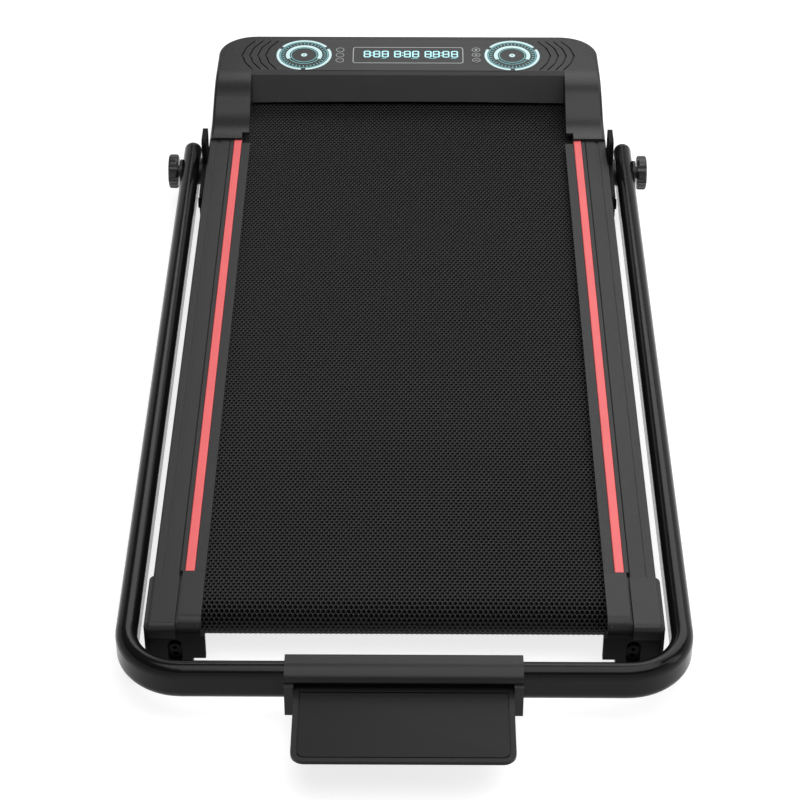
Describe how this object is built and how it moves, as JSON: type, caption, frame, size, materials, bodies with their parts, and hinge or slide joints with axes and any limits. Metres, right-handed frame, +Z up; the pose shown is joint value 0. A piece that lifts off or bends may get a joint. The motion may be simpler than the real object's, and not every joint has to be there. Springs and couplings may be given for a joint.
{
  "type": "walking pad",
  "caption": "Flat walking pad: a driven belt between dark side rails with red strips, a motor hood with console, and a folding handrail with a tilting tablet tray.",
  "frame": {"origin": "on the floor under the middle of the whole machine, tray included", "axes": "+X to the walker's right, +Y along the belt towards the motor hood, +Z up"},
  "size_m": [0.6046, 1.34, 0.1242],
  "materials": {
    "rail_paint": "satin powder coat",
    "frame_paint": "black powder coat",
    "handrail_paint": "semi-gloss powder coat",
    "cap_plastic": "fine grain",
    "hood_plastic": "fine grain",
    "guard_plastic": "fine grain",
    "overlay_plastic": "printed",
    "accent_plastic": "satin",
    "belt_rubber": "embossed",
    "deck_laminate": "laminated",
    "soft_rubber": "matt",
    "bright_steel": "zinc plated",
    "dark_steel": "black oxide",
    "black_plastic": "moulded",
    "rocker_plastic": "moulded",
    "motor_paint": "black paint",
    "controller_alloy": "extruded",
    "board_green": "circuit board",
    "key_plastic": "printed"
  },
  "bodies": {
    "base": {"accent_strip_left": "accent_plastic", "accent_strip_right": "accent_plastic", "belt_guard": "guard_plastic", "belt_tension_bolts": "dark_steel", "console_overlay": "overlay_plastic", "deck_board": "deck_laminate", "deck_cushions": "soft_rubber", "display_board": "board_green", "drive_belt": "belt_rubber", "frame_crossmembers": "frame_paint", "frame_side_left": "frame_paint", "frame_side_right": "frame_paint", "front_roller_axle": "bright_steel", "hinge_bolts": "dark_steel", "hinge_bracket_left": "frame_paint", "hinge_bracket_right": "frame_paint", "indicator_lamps": "key_plastic", "motor_controller": "controller_alloy", "motor_hood": "hood_plastic", "motor_housing": "motor_paint", "motor_mount": "frame_paint", "motor_pan": "frame_paint", "pan_screws": "dark_steel", "power_inlet": "black_plastic", "rear_bracket_left": "frame_paint", "rear_bracket_right": "frame_paint", "rear_cap_left": "cap_plastic", "rear_cap_right": "cap_plastic", "rear_roller_axle": "bright_steel", "rubber_feet": "soft_rubber", "running_belt": "belt_rubber", "side_rail_left": "rail_paint", "side_rail_right": "rail_paint", "speakers": "black_plastic", "wheel_forks": "frame_paint"},
    "front_roller_body": {"front_roller": "bright_steel", "front_roller_bearings": "bright_steel", "roller_pulley": "black_plastic"},
    "rear_roller_body": {"rear_roller": "bright_steel", "rear_roller_bearings": "bright_steel"},
    "motor_shaft": {"motor_rotor": "bright_steel", "motor_pulley": "black_plastic", "motor_fan": "black_plastic"},
    "wheel_left": {"transport_wheel_left": "soft_rubber"},
    "wheel_right": {"transport_wheel_right": "soft_rubber"},
    "rocker": {"power_rocker": "rocker_plastic"},
    "start_key": {"key_start": "key_plastic"},
    "faster_key": {"key_faster": "key_plastic"},
    "slower_key": {"key_slower": "key_plastic"},
    "handle": {"handrail_tube": "handrail_paint", "handrail_end_plugs": "black_plastic", "pivot_washers": "black_plastic", "holder_upper": "black_plastic", "holder_lower": "black_plastic", "holder_screws": "dark_steel", "tray_pins": "bright_steel"},
    "tray": {"tablet_tray": "black_plastic"},
    "left_knob": {"knob_left": "black_plastic"},
    "right_knob": {"knob_right": "black_plastic"}
  },
  "joints": [
    {"name": "handle_fold", "type": "hinge", "parent": "base", "child": "handle", "pos_m": [0, 0.378, 0.05], "axis": [-1, 0, 0], "range_deg": [0, 95]},
    {"name": "tray_tilt", "type": "hinge", "parent": "handle", "child": "tray", "pos_m": [0, -0.5735, 0.0525], "axis": [-1, 0, 0], "range_deg": [0, 30]},
    {"name": "front_roller_spin", "type": "hinge", "parent": "base", "child": "front_roller_body", "pos_m": [0, 0.525, 0.0481], "axis": [1, 0, 0], "continuous": true},
    {"name": "rear_roller_spin", "type": "hinge", "parent": "base", "child": "rear_roller_body", "pos_m": [0, -0.455, 0.0481], "axis": [1, 0, 0], "continuous": true},
    {"name": "motor_spin", "type": "hinge", "parent": "base", "child": "motor_shaft", "pos_m": [0, 0.605, 0.058], "axis": [1, 0, 0], "continuous": true},
    {"name": "wheel_left_spin", "type": "hinge", "parent": "base", "child": "wheel_left", "pos_m": [-0.2132, 0.631, 0.02], "axis": [1, 0, 0], "continuous": true},
    {"name": "wheel_right_spin", "type": "hinge", "parent": "base", "child": "wheel_right", "pos_m": [0.2132, 0.631, 0.02], "axis": [1, 0, 0], "continuous": true},
    {"name": "knob_left_turn", "type": "hinge", "parent": "base", "child": "left_knob", "pos_m": [-0.29, 0.378, 0.05], "axis": [1, 0, 0], "continuous": true},
    {"name": "knob_right_turn", "type": "hinge", "parent": "base", "child": "right_knob", "pos_m": [0.29, 0.378, 0.05], "axis": [1, 0, 0], "continuous": true},
    {"name": "power_rocker_tip", "type": "hinge", "parent": "base", "child": "rocker", "pos_m": [0.1335, 0.663, 0.046], "axis": [1, 0, 0], "range_deg": [0, 9]},
    {"name": "start_press", "type": "slide", "parent": "base", "child": "start_key", "axis": [0, 0.0488, -0.9988], "range_m": [0, 0.0008], "stiffness_N_per_m": 900},
    {"name": "faster_press", "type": "slide", "parent": "base", "child": "faster_key", "axis": [0, 0.0488, -0.9988], "range_m": [0, 0.0008], "stiffness_N_per_m": 900},
    {"name": "slower_press", "type": "slide", "parent": "base", "child": "slower_key", "axis": [0, 0.0488, -0.9988], "range_m": [0, 0.0008], "stiffness_N_per_m": 900}
  ],
  "couplings": [
    {"joint": "rear_roller_spin", "follows": "front_roller_spin", "ratio": 1},
    {"joint": "motor_spin", "follows": "front_roller_spin", "ratio": 2.1}
  ]
}
